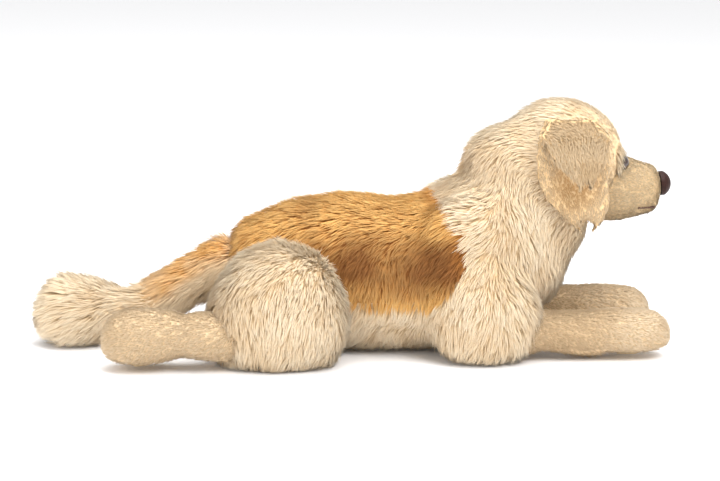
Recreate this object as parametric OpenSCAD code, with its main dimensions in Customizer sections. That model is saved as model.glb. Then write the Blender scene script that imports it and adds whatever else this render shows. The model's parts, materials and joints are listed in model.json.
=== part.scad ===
// Plush dog lying down: forelegs stretched ahead, one hind foot stretched back, the other tucked forward.
// X runs from the tail to the nose, Y to the dog's left, Z up, and the floor is Z = 0.

/* [Torso] */
// Length from the rump to the shoulder section
torso_len = 180; // [150:1:220]
// Height of the back above the floor
back_h = 150; // [125:1:180]
// Widest part of the torso
torso_w = 156; // [130:1:190]
// Height of the seam between saddle and belly
belly_seam_h = 50; // [35:1:65]
// Radius of the curved seam between saddle and chest
saddle_seam_r = 92; // [80:1:105]

/* [Fabric] */
// Thickness of the long pile fabric with its pile pressed half flat
long_pile = 8; // [5:0.5:10]
// Thickness of the short pile fabric
short_pile = 4; // [3:0.5:5]
// Gap between a skin and the stuffing in it
stuffing_gap = 0.2; // [0.1:0.05:0.5]
// Gap that the head's stuffing leaves round the eyes' stems and washers
hardware_gap = 2; // [1:0.1:3]
// Running gap between soft pieces that move against each other
joint_gap = 0.5; // [0.4:0.1:1]

/* [Head] */
// Diameter of the skull
skull_d = 120; // [105:1:135]
// Distance of the skull's centre ahead of the shoulder section
skull_ahead = 122; // [110:1:140]
// Height of the skull's centre
skull_h = 187; // [165:1:205]
// Radius round the skull's centre where the yielding neck ends
neck_r = 92; // [86:1:96]
// Length of the muzzle from the skull's centre to its front
muzzle_len = 96; // [85:1:110]
// Width of the muzzle where it leaves the skull
muzzle_w = 68; // [56:1:76]
// Height of the muzzle where it leaves the skull
muzzle_h = 66; // [54:1:70]
// Height of the muzzle's centre line
muzzle_z = 157; // [145:1:165]

/* [Nose and eyes] */
// Width of the moulded nose
nose_w = 24; // [18:0.5:28]
// Depth of the moulded nose
nose_deep = 11; // [8:0.5:14]
// Diameter of an eye's dome
eye_d = 14; // [10:0.5:16]
// Diameter of the ribbed stem behind an eye or the nose
stem_d = 4.5; // [3:0.25:6]
// Length of that stem
stem_len = 15; // [12:0.5:18]
// Outer diameter of a locking washer
washer_d = 16; // [12:0.5:20]
// Thickness of a locking washer
washer_t = 1.6; // [1:0.1:2.5]

/* [Ears] */
// Width of an ear
ear_w = 76; // [60:1:84]
// Drop of the lobe below its root
ear_drop = 115; // [92:1:122]
// Thickness of the lobe
lobe_t = 8; // [5:0.5:9]
// Thickness of the flap folded over it
flap_t = 9; // [6:0.5:11]

/* [Forelegs] */
// Distance between the two elbows' middles
elbow_span = 134; // [120:1:150]
// Length of an elbow bulge
elbow_len = 100; // [90:1:112]
// Height of an elbow bulge
elbow_h = 114; // [95:1:130]
// Length of a forearm from its joint to the paw's tip
forearm_len = 146; // [125:1:165]
// Width of a front paw
paw_w = 52; // [44:1:58]
// Angle at which the forearms run together
toe_in = 4.5; // [0:0.5:6]

/* [Hind legs] */
// Distance between the two haunches' middles
haunch_span = 166; // [150:1:180]
// Length of a haunch
haunch_len = 136; // [120:1:150]
// Width of a haunch
haunch_w = 108; // [90:1:116]
// Height of a haunch
haunch_h = 125; // [105:1:140]
// Length of a hind foot from its joint to the toe's tip
foot_len = 112; // [95:1:125]
// Width of a hind foot
foot_w = 60; // [50:1:66]
// Radius of the ball that an ankle or wrist turns on
ankle_r = 26; // [22:0.5:28]

/* [Tail] */
// Length of the golden part of the tail
tail_root_len = 88; // [70:1:105]
// Length of the cream part of the tail
tail_tip_len = 104; // [90:1:125]
// Radius of the tail where it leaves the rump
tail_r = 20; // [16:0.5:22]
// Radius of the brush at the tail's end
brush_r = 32; // [26:0.5:36]
// Height of the tail's joint with the rump
tail_h = 84; // [70:1:95]

/* [Bean bag] */
// Length of the pellet pouch in the belly
pouch_len = 110; // [80:1:130]
// Width of the pellet pouch
pouch_w = 76; // [60:1:90]
// Thickness of the full pouch
pouch_t = 30; // [20:1:36]
// Thickness of the pouch's cloth
pouch_cloth = 1; // [0.6:0.1:1.5]

/* [Hidden] */

left = 1;
right = -1;
torso_sides = 24;
limb_sides = 16;
filling_hole_reach = 14;
far = 600;

cream = [0.93, 0.85, 0.71];
gold = [0.78, 0.57, 0.33];
beige = [0.89, 0.8, 0.66];
filling = [0.97, 0.97, 0.95];
dark_brown = [0.2, 0.12, 0.1];
washer_white = [0.85, 0.85, 0.85];
pellet_blue = [0.6, 0.7, 0.8];

// Places, before the whole model is centred on X = 0
rump_x = -96;
rump_dome = 27;
shoulder_x = rump_x + torso_len;
skull = [shoulder_x + skull_ahead, 0, skull_h];
skull_r = skull_d / 2;
muzzle_tip_x = skull[0] + muzzle_len;
tail_joint = [rump_x - rump_dome - 1, 0, tail_h];
tip_slope = 5;
root_slope = asin((tail_h - brush_r - tail_tip_len * sin(tip_slope) * 0.7) / tail_root_len);
tip_joint = tail_joint + tail_root_len * [-cos(root_slope), 0, -sin(root_slope)];
nose_tip_x = muzzle_tip_x + nose_deep;
tail_end_x = tip_joint[0] - tail_tip_len;
mid_x = (nose_tip_x + tail_end_x) / 2;

haunch_x = rump_x + 20;
elbow_x = shoulder_x + 31;
ankle_neck = ankle_r * 0.8;
wrist = [elbow_x + elbow_len / 2 - 3, elbow_span / 2 - 4, ankle_r + 2];
// The ankles stay clear of a wider torso
ankle_y = max(haunch_span / 2 + 20, torso_w / 2 + 16);
ankle_back = [haunch_x - haunch_len / 2 + 14, ankle_y, ankle_r + 3];
ankle_front = [haunch_x + haunch_len / 2 - 17, ankle_y, ankle_r + 3];
foot_tuck_yaw = 6;
inward_swing = 6;

// ---- soft shapes ----

// A cross-section: its middle, its half width along Y and its half height, leant back by tilt
function section(x, z, w, h, tilt = 0) =
    [[x, 0, z], [0, w, 0], [-h * sin(tilt), 0, h * cos(tilt)]];

// The same section made bigger all round by g
function swollen(s, g) =
    [s[0], s[1] * (1 + g / norm(s[1])), s[2] * (1 + g / norm(s[2]))];

function unit(v) = v / norm(v);

// Sections for a rounded end that is reach long beyond section s; way is -1 before it and 1 after it
function dome_ring(s, reach, way, a) =
    let (out = unit(cross(s[1], s[2])) * reach * way)
    [s[0] + out * sin(a), s[1] * cos(a), s[2] * cos(a)];

function ring_points(s, sides) =
    [for (i = [0 : sides - 1]) s[0] + s[1] * cos(i * 360 / sides) + s[2] * sin(i * 360 / sides)];

// A closed tube through the sections with a rounded end of the given reach at each end
module loft(sections, start_reach, end_reach, sides = limb_sides, g = 0) {
    body = [for (s = sections) swollen(s, g)];
    last = len(body) - 1;
    turns = [28, 55, 76];
    rings = concat(
        [for (i = [2 : -1 : 0]) dome_ring(body[0], start_reach + g, -1, turns[i])],
        body,
        [for (i = [0 : 2]) dome_ring(body[last], end_reach + g, 1, turns[i])]);
    n = len(rings);
    points = concat(
        [for (r = rings) each ring_points(r, sides)],
        [dome_ring(body[0], start_reach + g, -1, 90)[0], dome_ring(body[last], end_reach + g, 1, 90)[0]]);
    near_tip = n * sides;
    polyhedron(points, concat(
        [for (i = [0 : sides - 1]) [near_tip, i, (i + 1) % sides]],
        [for (r = [0 : n - 2], i = [0 : sides - 1])
            [r * sides + i, (r + 1) * sides + i, (r + 1) * sides + (i + 1) % sides]],
        [for (r = [0 : n - 2], i = [0 : sides - 1])
            [r * sides + i, (r + 1) * sides + (i + 1) % sides, r * sides + (i + 1) % sides]],
        [for (i = [0 : sides - 1])
            [near_tip + 1, (n - 1) * sides + (i + 1) % sides, (n - 1) * sides + i]]));
}

// An egg with the given half lengths
module egg(half, g = 0, sides = 20) {
    loft([section(-half[0] * 0.34, 0, half[1] * 0.94, half[2] * 0.94),
          section(0, 0, half[1], half[2]),
          section(half[0] * 0.34, 0, half[1] * 0.94, half[2] * 0.94)],
        half[0] * 0.66, half[0] * 0.66, sides, g);
}

// The first two sections of a limb that starts with a ball of radius r; its loft starts with a reach of r
function ball_end(r) =
    [section(0, 0, r, r), section(r * sin(33), 0, r * cos(33), r * cos(33))];

// The opening in the ball that a limb is filled through, from inside the limb out along -X
module filling_hole(r) {
    translate([filling_hole_reach, 0, 0])
        rotate([0, -90, 0])
            cylinder(r = r * 0.4, h = filling_hole_reach + r + 2, $fn = 32);
}

module below(z) {
    translate([-far, -far, z - far])
        cube([2 * far, 2 * far, far]);
}

module above(z) {
    translate([-far, -far, z])
        cube([2 * far, 2 * far, far]);
}

module skull_ball(r) {
    translate(skull)
        sphere(r = r, $fn = 64);
}

module on_side(side) {
    if (side == left)
        children();
    else
        mirror([0, 1, 0])
            children();
}

// Everything is drawn centred on its own length
module placed() {
    translate([-mid_x, 0, 0])
        children();
}

// ---- torso and neck ----

function trunk(x, low, high, w, tilt = 0) =
    section(x, (low + high) / 2, w, (high - low) / 2, tilt);

// Rump to nape: the last sections lean back as the neck rises to the skull
module trunk_form(g = 0) {
    w = torso_w / 2;
    nape_r = skull_r + 11;
    nape_w = skull_r + 1;
    loft([
        trunk(rump_x, 14, back_h * 0.86, w * 0.66),
        trunk(rump_x + torso_len * 0.22, 0, back_h * 0.96, w * 0.92),
        trunk(rump_x + torso_len * 0.5, -3, back_h, w),
        trunk(rump_x + torso_len * 0.78, -3, back_h * 0.97, w),
        trunk(shoulder_x, -2, back_h * 1.02, w),
        section(shoulder_x + 42, 91, w * 1.02, 80, 19),
        section(skull[0] - 46, skull[2] - 65, w * 0.94, 78, 32),
        section(skull[0] - 27, skull[2] - 34, nape_w, nape_r, 35),
        section(skull[0] - 5, skull[2] - 13, nape_w - 3, nape_r - 3, 33)],
        rump_dome, 20, torso_sides, g);
}

module trunk_shell() {
    difference() {
        trunk_form();
        trunk_form(-long_pile);
        below(0);
        skull_ball(neck_r + joint_gap);
        tail_socket();
        foreleg_room();
    }
}

module saddle_side() {
    seam = [shoulder_x - 70, 0, 95];
    translate(seam)
        rotate([90, 0, 0])
            cylinder(r = saddle_seam_r, h = far, center = true, $fn = 96);
    translate([seam[0] - far, -far, -far])
        cube([far, 2 * far, 2 * far]);
}

module tail_socket() {
    translate(tail_joint)
        sphere(r = tail_r + joint_gap, $fn = 48);
}

module saddle_skin() {
    color(gold)
        placed()
            difference() {
                intersection() {
                    trunk_shell();
                    saddle_side();
                }
                below(belly_seam_h);
            }
}

module chest_skin() {
    color(cream)
        placed()
            difference() {
                trunk_shell();
                saddle_side();
            }
}

module belly_panel() {
    color(cream)
        placed()
            difference() {
                intersection() {
                    trunk_shell();
                    saddle_side();
                }
                above(belly_seam_h);
            }
}

module pouch_form(g = 0) {
    translate([rump_x + torso_len / 2, 0, long_pile + 6 + pouch_t / 2])
        egg([pouch_len / 2, pouch_w / 2, pouch_t / 2], g);
}

module torso_stuffing() {
    color(filling)
        placed()
            difference() {
                trunk_form(-long_pile - stuffing_gap);
                below(long_pile - 3 + stuffing_gap);
                skull_ball(neck_r + joint_gap);
                tail_socket();
                foreleg_room();
                pouch_form(stuffing_gap);
            }
}

module pellet_pouch() {
    color(beige)
        placed()
            difference() {
                pouch_form();
                pouch_form(-pouch_cloth);
            }
}

module pellets() {
    color(pellet_blue)
        placed()
            pouch_form(-pouch_cloth - stuffing_gap);
}

// The neck between skull and chest yields as the head moves; its core nods with the head
neck_lean = 54;
core_angle = 34;

module neck_core(gap) {
    inner = skull_r + joint_gap - gap;
    outer = neck_r + gap;
    edge = core_angle + asin(gap / skull_r);
    translate(skull)
        rotate([0, neck_lean + 180, 0])
            rotate([0, 0, 180])
                rotate_extrude($fn = 64)
                    polygon(concat(
                        [for (a = [0 : edge / 8 : edge]) outer * [sin(a), cos(a)]],
                        [for (a = [edge : -edge / 8 : -0.01]) inner * [sin(max(a, 0)), cos(max(a, 0))]]));
}

module neck_skin() {
    color(cream)
        placed()
            difference() {
                intersection() {
                    trunk_form();
                    skull_ball(neck_r);
                }
                skull_ball(skull_r + joint_gap);
                neck_core(joint_gap);
                translate([skull[0] - 6, -far, -far])
                    cube([far, 2 * far, 2 * far]);
            }
}

module neck_stuffing() {
    color(filling)
        placed()
            neck_core(0);
}

// ---- head ----

module muzzle_form(g = 0) {
    w = muzzle_w / 2;
    h = muzzle_h / 2;
    loft([
        section(skull[0] + 38, muzzle_z + 2, w * 1.02, h * 1.03),
        section(skull[0] + 56, muzzle_z + 1, w * 0.94, h * 1.0),
        section(muzzle_tip_x - 22, muzzle_z, w * 0.8, h * 0.84),
        section(muzzle_tip_x - 9, muzzle_z, w * 0.68, h * 0.72)],
        8, 9, limb_sides, g);
}

module head_skin() {
    color(cream)
        placed()
            difference() {
                skull_ball(skull_r);
                skull_ball(skull_r - long_pile);
                muzzle_form(stuffing_gap);
                stem_clearance(stuffing_gap);
            }
}

module head_stuffing() {
    color(filling)
        placed()
            difference() {
                skull_ball(skull_r - long_pile - stuffing_gap);
                muzzle_form(stuffing_gap);
                stem_clearance(hardware_gap);
            }
}

module muzzle_shell() {
    difference() {
        muzzle_form();
        muzzle_form(-short_pile);
        stem_clearance(stuffing_gap);
    }
}

chin_seam_z = muzzle_z - muzzle_h * 0.24;

module muzzle_skin() {
    color(beige)
        placed()
            difference() {
                muzzle_shell();
                below(chin_seam_z);
                mouth_path(stitch_r + 0.1);
            }
}

module chin_panel() {
    color(beige)
        placed()
            difference() {
                muzzle_shell();
                above(chin_seam_z);
                mouth_path(stitch_r + 0.1);
            }
}

module muzzle_stuffing() {
    color(filling)
        placed()
            difference() {
                muzzle_form(-short_pile - stuffing_gap);
                stem_clearance(stuffing_gap);
            }
}

// A moulded dome on a stem, along +Z from the fabric's outer face
module dome_on_stem(d, deep, squash) {
    intersection() {
        translate([0, 0, deep - squash])
            sphere(r = squash, $fn = 64);
        cylinder(d = d, h = deep + 1, $fn = 64);
    }
    translate([0, 0, -stem_len])
        cylinder(d = stem_d, h = stem_len + 0.5, $fn = 32);
}

module washer_ring(gap) {
    translate([0, 0, -short_pile - washer_t - 0.4])
        difference() {
            cylinder(d = washer_d + 2 * gap, h = washer_t + gap, $fn = 48);
            if (gap == 0)
                translate([0, 0, -1])
                    cylinder(d = stem_d + 0.1, h = washer_t + 2, $fn = 32);
        }
}

nose_z = muzzle_z + 5;

module at_nose() {
    translate([muzzle_tip_x, 0, nose_z])
        rotate([0, 84, 0])
            children();
}

module nose_fastener(gap) {
    at_nose() {
        translate([0, 0, -stem_len - gap])
            cylinder(d = stem_d + 2 * gap, h = stem_len + nose_deep, $fn = 32);
        washer_ring(gap);
        translate([0, 0, -0.01])
            cylinder(d = nose_w + 2 * gap, h = nose_deep, $fn = 64);
    }
}

module nose() {
    color(dark_brown)
        placed()
            at_nose()
                dome_on_stem(nose_w, nose_deep, nose_w * 0.56);
}

module nose_washer() {
    color(washer_white)
        placed()
            at_nose()
                washer_ring(0);
}

// The eyes sit where the muzzle meets the forehead
eye_turn = 20;
eye_rise = -2;

module at_eye() {
    translate(skull)
        rotate([0, 90 - eye_rise, eye_turn])
            translate([0, 0, skull_r - 0.5])
                children();
}

module eye_fastener(gap) {
    at_eye() {
        translate([0, 0, -stem_len - gap])
            cylinder(d = stem_d + 2 * gap, h = stem_len + 8, $fn = 32);
        translate([0, 0, -long_pile + short_pile])
            washer_ring(gap);
        cylinder(d = eye_d + 2 * gap, h = 8, $fn = 48);
    }
}

module stem_clearance(gap) {
    for (side = [left, right])
        on_side(side)
            eye_fastener(gap);
    nose_fastener(gap);
}

module eye(side) {
    color(dark_brown)
        placed()
            on_side(side)
                at_eye()
                    dome_on_stem(eye_d, 5, eye_d * 0.58);
}

module eye_washer(side) {
    color(washer_white)
        placed()
            on_side(side)
                at_eye()
                    translate([0, 0, -long_pile + short_pile])
                        washer_ring(0);
}

module eye_left() { eye(left); }
module eye_right() { eye(right); }
module eye_washer_left() { eye_washer(left); }
module eye_washer_right() { eye_washer(right); }

// The mouth's thread: a line down from the nose, and one back along each side of the chin seam
stitch_r = 0.9;
knot = 1.25;

module thread(from, to, r) {
    way = to - from;
    translate(from)
        rotate([0, acos(way[2] / norm(way)), atan2(way[1], way[0])])
            cylinder(r = r, h = norm(way), $fn = 24);
    translate(to)
        sphere(r = r * knot, $fn = 24);
}

module mouth_path(r) {
    front = [muzzle_tip_x - 2, 0, chin_seam_z];
    corner = [muzzle_tip_x - 8.5, muzzle_w * 0.25, chin_seam_z];
    back = [muzzle_tip_x - 24, muzzle_w * 0.325, chin_seam_z];
    thread([muzzle_tip_x - 0.3, 0, nose_z - nose_w * 0.52], front, r);
    for (side = [left, right])
        on_side(side) {
            thread(front, corner, r);
            thread(corner, back, r);
        }
}

module mouth_stitch() {
    color(dark_brown)
        placed()
            mouth_path(stitch_r);
}

// ---- ears ----

// The ear turns up about the seam line along the side of the crown
ear_root = [skull[0], (skull_r + joint_gap + lobe_t / 2) * 0.72, skull[2] + (skull_r + joint_gap + lobe_t / 2) * 0.7];

function ear_section(x, y, z, w, t, lean) =
    [[x, y, z], [w, 0, 0], [0, t * cos(lean), t * sin(lean)]];

module ear_lobe(side) {
    w = ear_w / 2;
    t = lobe_t / 2;
    hang = skull_r + t + 5;
    color(beige)
        placed()
            on_side(side)
                loft([
                    ear_section(ear_root[0] - 2, ear_root[1], ear_root[2], w * 0.72, t, 42),
                    ear_section(skull[0] - 2, hang * 0.925, skull[2] + 29, w * 0.94, t, 27),
                    ear_section(skull[0] - 2, hang, skull[2] + 4, w, t, 4),
                    ear_section(skull[0] - 1, hang, ear_root[2] - ear_drop * 0.68, w * 0.9, t, -4),
                    ear_section(skull[0] + 2, hang - 2, ear_root[2] - ear_drop * 0.86, w * 0.66, t, -8)],
                    t, ear_drop * 0.14, 16);
}

module ear_flap(side) {
    w = ear_w / 2;
    t = flap_t / 2;
    hang = skull_r + lobe_t + t + 6.5;
    color(cream)
        placed()
            on_side(side)
                loft([
                    ear_section(ear_root[0] - 2, ear_root[1] + lobe_t * 0.62 + t, ear_root[2] + 5, w * 0.6, t, 42),
                    ear_section(skull[0] - 1, hang * 0.94, skull[2] + 33, w * 0.92, t, 26),
                    ear_section(skull[0] + 2, hang, skull[2] + 9, w * 0.78, t, 4),
                    ear_section(skull[0] + 7, hang + 0.5, skull[2] - 16, w * 0.36, t * 0.9, 0)],
                    t, 12, 16);
}

module ear_lobe_left() { ear_lobe(left); }
module ear_lobe_right() { ear_lobe(right); }
module ear_flap_left() { ear_flap(left); }
module ear_flap_right() { ear_flap(right); }

// ---- forelegs ----

module elbow_form(g = 0) {
    translate([elbow_x, elbow_span / 2, elbow_h / 2 - 3])
        egg([elbow_len / 2, 39, elbow_h / 2], g);
}

module at_wrist() {
    translate(wrist)
        rotate([0, 0, -toe_in])
            children();
}

// A forearm points along +X from its ball
module forearm_form(g = 0) {
    w = paw_w / 2;
    at_wrist()
        loft(concat(ball_end(ankle_r), [
            section(ankle_r, -1, ankle_neck, ankle_neck),
            section(ankle_r * 1.8, -3, w * 0.88, 23),
            section(62, -4, w * 0.9, 23.5),
            section(forearm_len - 50, -4, w, 25),
            section(forearm_len - 26, -4.5, w * 0.98, 24.5)]),
            ankle_r, 26, limb_sides, g);
}

module wrist_socket() {
    at_wrist()
        sphere(r = ankle_r + joint_gap, $fn = 48);
}

// The room that a forearm needs beside the chest, from its ball forward
module foreleg_room() {
    for (side = [left, right])
        on_side(side) {
            wrist_socket();
            for (swing = [0, -inward_swing - 1])
                at_wrist()
                    rotate([0, 0, swing])
                        rotate([0, 90, 0])
                            cylinder(r = ankle_r + joint_gap - 0.01, h = forearm_len, $fn = 48);
        }
}

module elbow_skin(side) {
    color(cream)
        placed()
            difference() {
                on_side(side)
                    difference() {
                        elbow_form();
                        elbow_form(-long_pile);
                        wrist_socket();
                    }
                trunk_form();
                below(0);
            }
}

module elbow_stuffing(side) {
    color(filling)
        placed()
            difference() {
                on_side(side)
                    difference() {
                        elbow_form(-long_pile - stuffing_gap);
                        wrist_socket();
                    }
                trunk_form(stuffing_gap);
                below(long_pile - 3 + stuffing_gap);
            }
}

sole_seam_z = 9;

module forearm_shell() {
    difference() {
        forearm_form();
        forearm_form(-short_pile);
        below(0);
        at_wrist()
            filling_hole(ankle_r);
    }
}

module forearm_skin(side) {
    color(beige)
        placed()
            on_side(side)
                difference() {
                    forearm_shell();
                    intersection() {
                        below(sole_seam_z);
                        paw_half(forearm_len * 0.5);
                    }
                }
}

// The part of a forearm's reach that lies beyond x from its ball
module paw_half(x) {
    at_wrist()
        translate([x, -far / 2, -far / 2])
            cube(far);
}

module forearm_stuffing(side) {
    color(filling)
        placed()
            on_side(side)
                difference() {
                    forearm_form(-short_pile - stuffing_gap);
                    below(short_pile + stuffing_gap);
                }
}

module paw_sole(side) {
    color(beige)
        placed()
            on_side(side)
                intersection() {
                    forearm_shell();
                    below(sole_seam_z);
                    paw_half(forearm_len * 0.5);
                }
}

module elbow_skin_left() { elbow_skin(left); }
module elbow_skin_right() { elbow_skin(right); }
module elbow_stuffing_left() { elbow_stuffing(left); }
module elbow_stuffing_right() { elbow_stuffing(right); }
module forearm_skin_left() { forearm_skin(left); }
module forearm_skin_right() { forearm_skin(right); }
module forearm_stuffing_left() { forearm_stuffing(left); }
module forearm_stuffing_right() { forearm_stuffing(right); }
module paw_sole_left() { paw_sole(left); }
module paw_sole_right() { paw_sole(right); }

// ---- hind legs: the right foot points back, the left one is tucked forward ----

module haunch_form(g = 0) {
    translate([haunch_x, haunch_span / 2, haunch_h / 2 - 4])
        egg([haunch_len / 2, haunch_w / 2, haunch_h / 2 + 4], g);
}

module at_ankle(side) {
    if (side == right)
        translate(ankle_back)
            rotate([0, 0, 180])
                children();
    else
        translate(ankle_front)
            rotate([0, 0, foot_tuck_yaw])
                children();
}

module foot_form(side, g = 0) {
    w = foot_w / 2;
    at_ankle(side)
        loft(concat(ball_end(ankle_r), [
            section(ankle_r, 0, ankle_neck, ankle_neck),
            section(ankle_r * 1.6, 1, w * 0.86, 26),
            section(foot_len - 52, 1, w * 0.96, 29),
            section(foot_len - 28, 0, w, 30)]),
            ankle_r, 28, limb_sides, g);
}

module ankle_socket(side) {
    at_ankle(side)
        sphere(r = ankle_r + joint_gap, $fn = 48);
}

module haunch_skin(side) {
    color(cream)
        placed()
            difference() {
                on_side(side)
                    difference() {
                        haunch_form();
                        haunch_form(-long_pile);
                        ankle_socket(side);
                    }
                trunk_form();
                below(0);
            }
}

module haunch_stuffing(side) {
    color(filling)
        placed()
            difference() {
                on_side(side)
                    difference() {
                        haunch_form(-long_pile - stuffing_gap);
                        ankle_socket(side);
                    }
                trunk_form(stuffing_gap);
                below(long_pile - 4 + stuffing_gap);
            }
}

module foot_half(side) {
    at_ankle(side)
        translate([foot_len * 0.42, -far / 2, -far / 2])
            cube(far);
}

module foot_shell(side) {
    difference() {
        foot_form(side);
        foot_form(side, -short_pile);
        below(0);
        at_ankle(side)
            filling_hole(ankle_r);
    }
}

module hind_foot_skin(side) {
    color(beige)
        placed()
            on_side(side)
                difference() {
                    foot_shell(side);
                    intersection() {
                        below(sole_seam_z);
                        foot_half(side);
                    }
                }
}

module hind_foot_stuffing(side) {
    color(filling)
        placed()
            on_side(side)
                difference() {
                    foot_form(side, -short_pile - stuffing_gap);
                    below(short_pile + stuffing_gap);
                }
}

module hind_sole(side) {
    color(beige)
        placed()
            on_side(side)
                intersection() {
                    foot_shell(side);
                    below(sole_seam_z);
                    foot_half(side);
                }
}

module haunch_skin_left() { haunch_skin(left); }
module haunch_skin_right() { haunch_skin(right); }
module haunch_stuffing_left() { haunch_stuffing(left); }
module haunch_stuffing_right() { haunch_stuffing(right); }
module hind_foot_skin_left() { hind_foot_skin(left); }
module hind_foot_skin_right() { hind_foot_skin(right); }
module hind_foot_stuffing_left() { hind_foot_stuffing(left); }
module hind_foot_stuffing_right() { hind_foot_stuffing(right); }
module hind_sole_left() { hind_sole(left); }
module hind_sole_right() { hind_sole(right); }

// ---- tail ----

// Along +X from the rump's joint, then turned to point back and down
module at_tail() {
    translate(tail_joint)
        rotate([0, 0, 180])
            rotate([0, root_slope, 0])
                children();
}

module tail_root_form(g = 0) {
    at_tail()
        loft(concat(ball_end(tail_r), [
            section(tail_r * 0.95, 0, tail_r * 0.82, tail_r * 0.82),
            section(tail_r * 1.9, 0, tail_r * 0.98, tail_r),
            section(tail_root_len - 13, 0, tail_r * 1.04, tail_r * 1.04)]),
            tail_r, 6, limb_sides, g);
}

module tip_socket() {
    translate(tip_joint)
        sphere(r = tail_r - 1 + joint_gap, $fn = 48);
}

module tail_root_skin() {
    color(gold)
        placed()
            difference() {
                tail_root_form();
                tail_root_form(-long_pile);
                tip_socket();
                at_tail()
                    filling_hole(tail_r);
            }
}

module tail_root_stuffing() {
    color(filling)
        placed()
            difference() {
                tail_root_form(-long_pile - stuffing_gap);
                tip_socket();
            }
}

module at_tip() {
    translate(tip_joint)
        rotate([0, 0, 180])
            children();
}

module tail_tip_form(g = 0) {
    r = tail_r - 1;
    drop = tip_joint[2] - brush_r;
    at_tip()
        loft(concat(ball_end(r), [
            section(r * 0.95, -drop * 0.2, r * 0.82, r * 0.82),
            section(r * 1.7, -drop * 0.4, r * 1.05, r * 1.05),
            section(tail_tip_len - brush_r * 1.7, -drop * 0.85, brush_r * 0.86, brush_r * 0.86),
            section(tail_tip_len - brush_r * 0.95, -drop, brush_r, brush_r + 1)]),
            r, brush_r * 0.95, limb_sides, g);
}

module tail_tip_skin() {
    color(cream)
        placed()
            difference() {
                tail_tip_form();
                tail_tip_form(-long_pile);
                below(0);
                at_tip()
                    filling_hole(tail_r);
            }
}

module tail_tip_stuffing() {
    color(filling)
        placed()
            difference() {
                tail_tip_form(-long_pile - stuffing_gap);
                below(long_pile);
            }
}

saddle_skin();
chest_skin();
belly_panel();
torso_stuffing();
pellet_pouch();
pellets();
neck_skin();
neck_stuffing();
head_skin();
head_stuffing();
muzzle_skin();
chin_panel();
muzzle_stuffing();
nose();
nose_washer();
mouth_stitch();
eye_left();
eye_right();
eye_washer_left();
eye_washer_right();
ear_flap_left();
ear_flap_right();
ear_lobe_left();
ear_lobe_right();
elbow_skin_left();
elbow_skin_right();
elbow_stuffing_left();
elbow_stuffing_right();
forearm_skin_left();
forearm_skin_right();
forearm_stuffing_left();
forearm_stuffing_right();
paw_sole_left();
paw_sole_right();
haunch_skin_left();
haunch_skin_right();
haunch_stuffing_left();
haunch_stuffing_right();
hind_foot_skin_left();
hind_foot_skin_right();
hind_foot_stuffing_left();
hind_foot_stuffing_right();
hind_sole_left();
hind_sole_right();
tail_root_skin();
tail_root_stuffing();
tail_tip_skin();
tail_tip_stuffing();
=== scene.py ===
import json
import math

import bmesh
import bpy
import numpy as np
from mathutils import Matrix, Vector, noise
from mathutils.bvhtree import BVHTree
from mathutils.kdtree import KDTree


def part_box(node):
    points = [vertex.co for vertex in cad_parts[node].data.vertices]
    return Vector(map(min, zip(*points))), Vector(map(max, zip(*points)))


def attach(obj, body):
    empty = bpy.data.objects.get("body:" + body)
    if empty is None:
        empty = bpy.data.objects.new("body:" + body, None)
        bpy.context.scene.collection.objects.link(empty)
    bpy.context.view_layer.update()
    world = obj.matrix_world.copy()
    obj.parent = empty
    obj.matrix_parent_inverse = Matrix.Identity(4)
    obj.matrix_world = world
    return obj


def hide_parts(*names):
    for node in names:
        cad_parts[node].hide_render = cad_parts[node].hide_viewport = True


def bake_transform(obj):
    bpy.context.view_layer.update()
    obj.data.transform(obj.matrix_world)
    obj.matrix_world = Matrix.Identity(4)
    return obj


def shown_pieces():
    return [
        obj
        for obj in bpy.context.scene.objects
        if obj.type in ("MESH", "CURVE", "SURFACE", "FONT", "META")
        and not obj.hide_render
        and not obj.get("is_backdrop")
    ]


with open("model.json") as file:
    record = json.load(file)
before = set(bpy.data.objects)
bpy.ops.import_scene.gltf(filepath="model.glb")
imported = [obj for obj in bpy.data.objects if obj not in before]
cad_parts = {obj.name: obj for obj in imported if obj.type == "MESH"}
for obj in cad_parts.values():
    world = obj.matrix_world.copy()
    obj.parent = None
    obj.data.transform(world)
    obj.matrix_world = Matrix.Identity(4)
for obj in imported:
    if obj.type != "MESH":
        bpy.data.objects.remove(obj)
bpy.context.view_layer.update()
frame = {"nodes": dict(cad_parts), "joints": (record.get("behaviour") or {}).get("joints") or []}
nodes = frame["nodes"]
jointAt = {j["name"]: Vector(j["pos_m"]) for j in frame["joints"]}
mm = 0.001
sides = ("left", "right")
noise.seed_set(7)           # or it starts from the clock, and the coat differs each run
print("frame loaded,", len(nodes), "nodes")


studio = {
    "azimuth": -4.06,
    "elevation": 11.07,
    "roll": 0.96,
    "distance": 2.158,
    "aim": (2.3 * mm, 0, 103.5 * mm),
    "lens": 110.0,
    "floorSize": 60.0,
    "floorTint": (0.92, 0.92, 0.93),
    "worldStrength": 0.92,
    "lightsAim": (0, 0, 0.08),
    # each soft light: place, width and power
    "lights": {
        "keyLight": ((0.9, -1.3, 1.9), 1.2, 42.0),
        "topLight": ((-0.1, 0.1, 2.2), 1.6, 40.0),
        "fillLight": ((-1.6, -1.4, 1.0), 1.4, 14.0),
    },
}


def backFrom(azimuth, elevation):
    a, e = math.radians(azimuth), math.radians(elevation)
    return Vector((math.sin(a) * math.cos(e), -math.cos(a) * math.cos(e), math.sin(e)))


def pointAt(obj, target):
    obj.rotation_euler = (Vector(target) - obj.location).to_track_quat("-Z", "Y").to_euler()


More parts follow.
